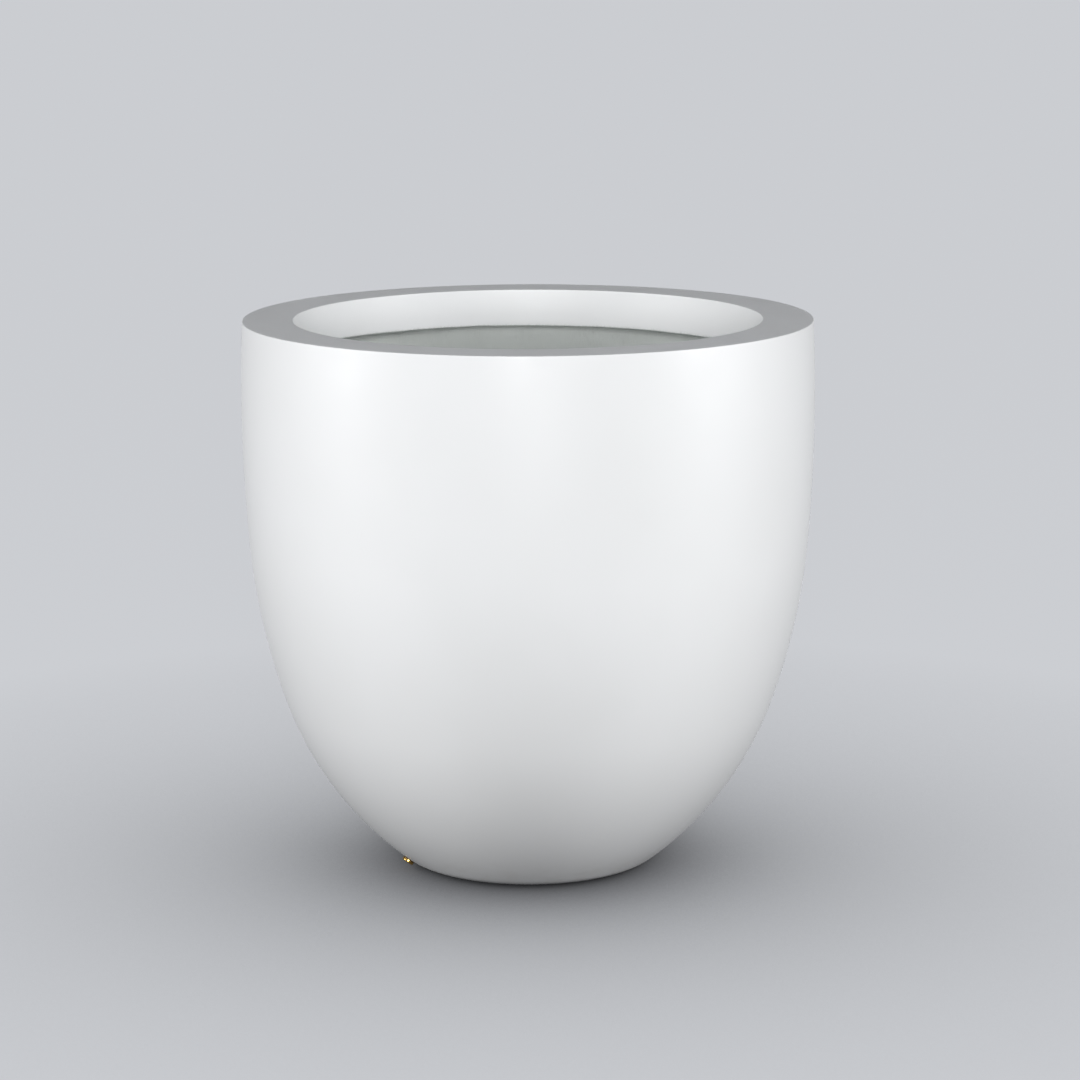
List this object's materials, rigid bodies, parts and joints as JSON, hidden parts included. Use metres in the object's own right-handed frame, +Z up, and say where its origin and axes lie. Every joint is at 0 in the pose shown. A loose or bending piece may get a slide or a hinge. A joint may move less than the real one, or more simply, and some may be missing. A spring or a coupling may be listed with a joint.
{
  "type": "bowl planter",
  "caption": "Tall white glass-fibre bowl planter with a broad flat rim, thin foot pads and a brass screw-plug drain low on the side.",
  "frame": {"origin": "on the floor under the middle of the bowl", "axes": "+Z up through the middle of the mouth, -Y towards the front, where the picture was taken from"},
  "size_m": [0.9063, 0.9064, 0.88],
  "materials": {
    "painted_laminate": "satin white paint over glass-fibre laminate, bare on the inside",
    "bare_laminate": "bare hand-laid laminate",
    "bonding_paste": "set resin paste",
    "plywood": "sanded plywood",
    "rubber": "matt black rubber",
    "brass": "turned and polished",
    "fibre_washer": "red fibre washer",
    "strainer_plastic": "moulded black"
  },
  "bodies": {
    "root": {"planter_shell": "painted_laminate", "rim_ring": "painted_laminate", "rim_bond_bead": "bonding_paste", "base_board": "plywood", "base_laminate": "bare_laminate", "foot_pad_1": "rubber", "foot_pad_2": "rubber", "foot_pad_3": "rubber", "foot_pad_4": "rubber", "drain_boss": "bare_laminate", "drain_bush": "brass", "drain_gasket": "rubber", "drain_washer": "fibre_washer", "drain_locknut": "brass", "drain_strainer": "strainer_plastic"},
    "plug_seal_body": {"plug_seal": "rubber"},
    "plug_body": {"drain_plug": "brass"}
  },
  "joints": [
    {"name": "plug_travel", "type": "slide", "parent": "root", "child": "plug_seal_body", "axis": [-0.5688, -0.2356, -0.788], "range_m": [0, 0.00535]},
    {"name": "plug_turn", "type": "hinge", "parent": "plug_seal_body", "child": "plug_body", "pos_m": [-0.19371, -0.08024, 0.01752], "axis": [-0.5688, -0.2356, -0.788], "range_deg": [0, 1440]}
  ],
  "couplings": [
    {"joint": "plug_turn", "follows": "plug_travel", "rad_per_m": 4699.5}
  ]
}
